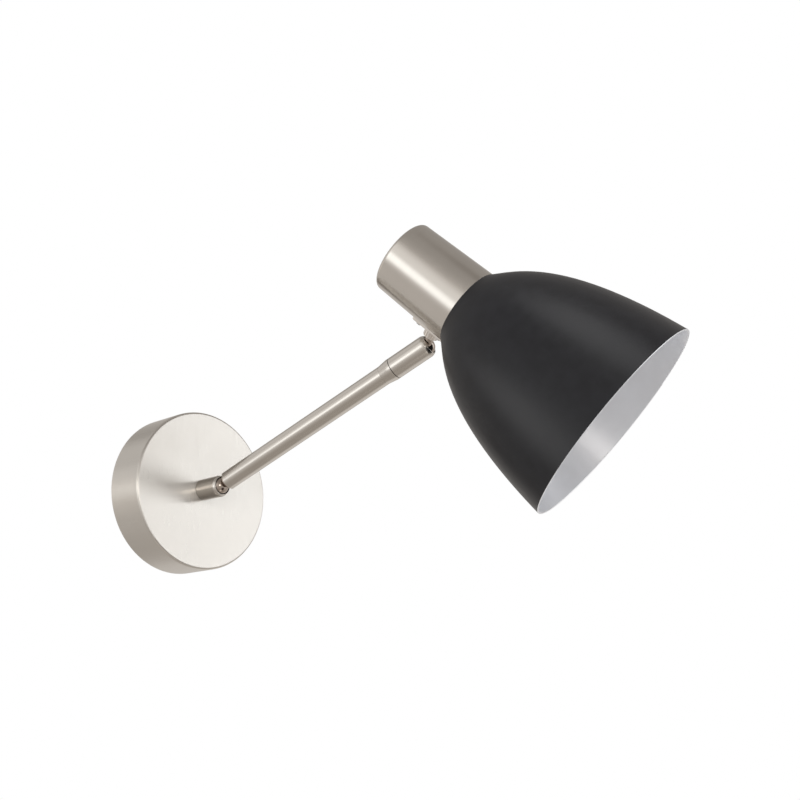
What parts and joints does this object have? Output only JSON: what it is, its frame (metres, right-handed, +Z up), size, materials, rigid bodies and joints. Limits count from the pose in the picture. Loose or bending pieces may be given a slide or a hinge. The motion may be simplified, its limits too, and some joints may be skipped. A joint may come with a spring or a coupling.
{
  "type": "articulating wall lamp",
  "caption": "Wall lamp with a bell shade on a straight arm, aimed by friction ball joints at the wall plate and at the shade's cylindrical cup.",
  "frame": {"origin": "centre of the wall plate's back face, midway between the wall-screw holes", "axes": "+Z up, +Y into the wall; the lamp reaches out along -Y and +X is to the right of someone facing the wall"},
  "size_m": [0.1691, 0.3436, 0.1768],
  "materials": {
    "nickel": "brushed nickel plate",
    "zinc_steel": "zinc-plated steel",
    "spring_steel": "blued spring steel",
    "polished_ball": "polished nickel plate",
    "brass": "plain brass",
    "black_lacquer": "black lacquer outside, light grey inside",
    "holder_plastic": "moulded, white",
    "insert_plastic": "moulded, cream",
    "terminal_plastic": "moulded, off-white",
    "seat_plastic": "moulded, dark grey",
    "wire": "soft insulation"
  },
  "bodies": {
    "wall": {"wall_plate": "nickel", "wall_bracket": "zinc_steel", "wall_nipple": "zinc_steel", "bracket_nuts": "zinc_steel", "terminal_block": "terminal_plastic", "terminal_tubes": "brass", "terminal_screws": "zinc_steel", "block_screw": "zinc_steel", "earth_screw": "brass", "earth_washer": "brass", "canopy_wires": "wire", "wall_socket": "nickel", "wall_disc_springs": "spring_steel"},
    "wall_seat": {"wall_friction_seat": "seat_plastic"},
    "arm": {"arm_ball": "polished_ball", "arm_end_bush": "zinc_steel", "arm_tube": "nickel", "arm_taper_sleeve": "nickel", "arm_wires": "wire", "head_socket": "nickel", "head_disc_springs": "spring_steel"},
    "head_seat": {"head_friction_seat": "seat_plastic"},
    "head_ball": {"head_ball": "polished_ball", "stem_wires": "wire"},
    "head": {"stem_collar_nut": "nickel", "saddle_plate": "nickel", "saddle_screws": "zinc_steel", "stem_nut": "zinc_steel", "holder_cup": "nickel", "holder_bracket": "zinc_steel", "holder_nipple": "zinc_steel", "holder_locknut": "zinc_steel", "lampholder_body": "holder_plastic", "lampholder_cap": "holder_plastic", "holder_insert": "insert_plastic", "holder_terminals": "brass", "screw_shell": "brass", "lamp_contact": "brass", "cup_wires": "wire", "shade_ring": "holder_plastic", "shade": "black_lacquer"}
  },
  "joints": [
    {"name": "wall_swivel", "type": "hinge", "parent": "wall", "child": "wall_seat", "pos_m": [0, -0.0431, 0], "axis": [0, -1, 0], "range_deg": [-165, 165]},
    {"name": "wall_tilt", "type": "hinge", "parent": "wall_seat", "child": "arm", "pos_m": [0, -0.0431, 0], "axis": [-0.9206, 0, 0.3905], "range_deg": [-61.4, 10.6]},
    {"name": "head_swivel", "type": "hinge", "parent": "arm", "child": "head_seat", "pos_m": [0.02763, -0.19216, 0.06513], "axis": [0.1674, -0.9034, 0.3947], "range_deg": [-165, 165]},
    {"name": "head_tilt", "type": "hinge", "parent": "head_seat", "child": "head_ball", "pos_m": [0.02763, -0.19216, 0.06513], "axis": [-0.2542, -0.4264, -0.8681], "range_deg": [-67.8, 4.2]},
    {"name": "shade_turn", "type": "hinge", "parent": "head_ball", "child": "head", "pos_m": [0.02763, -0.19216, 0.06513], "axis": [-0.3596, -0.7915, 0.4941], "range_deg": [-165, 165]}
  ]
}
